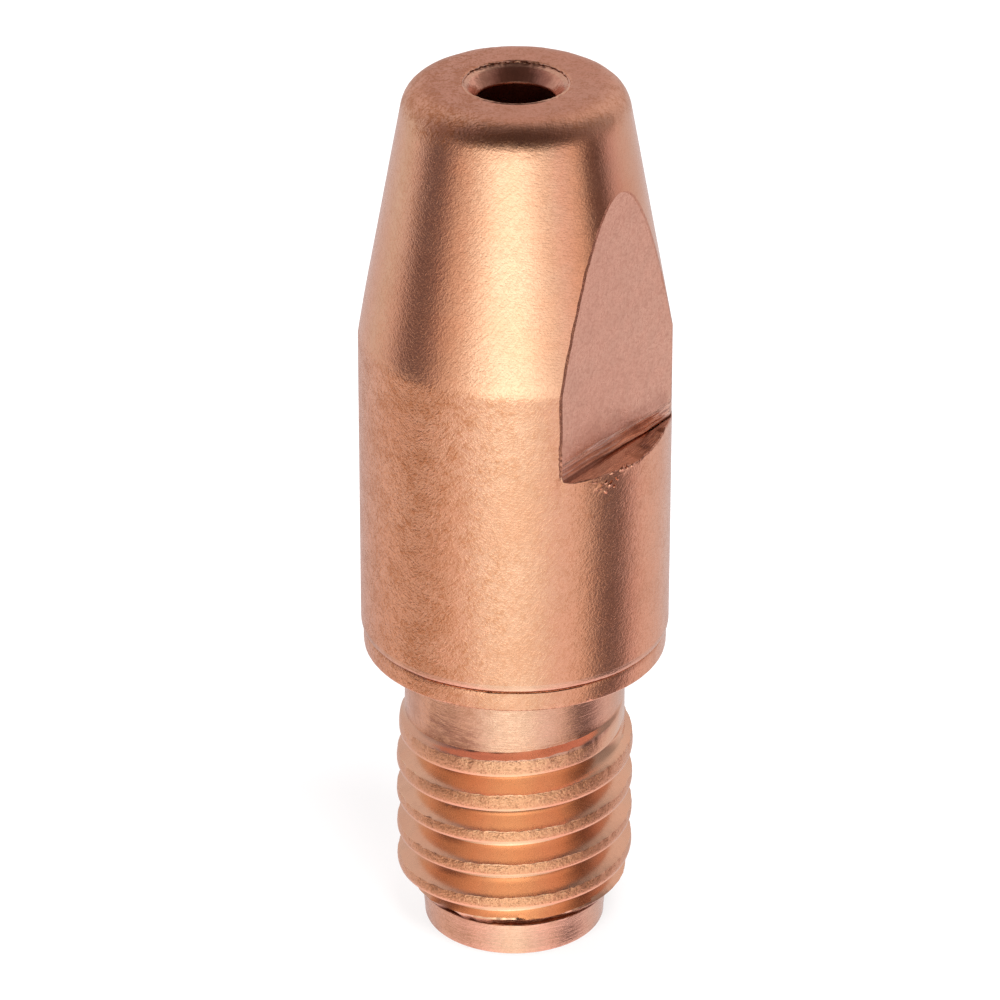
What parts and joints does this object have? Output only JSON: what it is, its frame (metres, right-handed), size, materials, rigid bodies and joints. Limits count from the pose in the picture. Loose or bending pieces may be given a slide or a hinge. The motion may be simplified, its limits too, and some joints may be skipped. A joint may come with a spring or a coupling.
{
  "type": "welding contact tip",
  "caption": "Copper contact tip for a gas-shielded welding torch: tapered round body, through bore for the wire, opposed wrench flats, seat collar, bare neck and threaded shank.",
  "frame": {"origin": "centre of the rear end face, at the threaded end, on which the tip stands", "axes": "+Z along the wire bore, from the threaded end to the nose; +X is the outward normal of one wrench flat"},
  "size_m": [0.01, 0.01, 0.03],
  "materials": {
    "copper": "satin"
  },
  "bodies": {
    "root": {"contact_tip": "copper"}
  },
  "joints": []
}
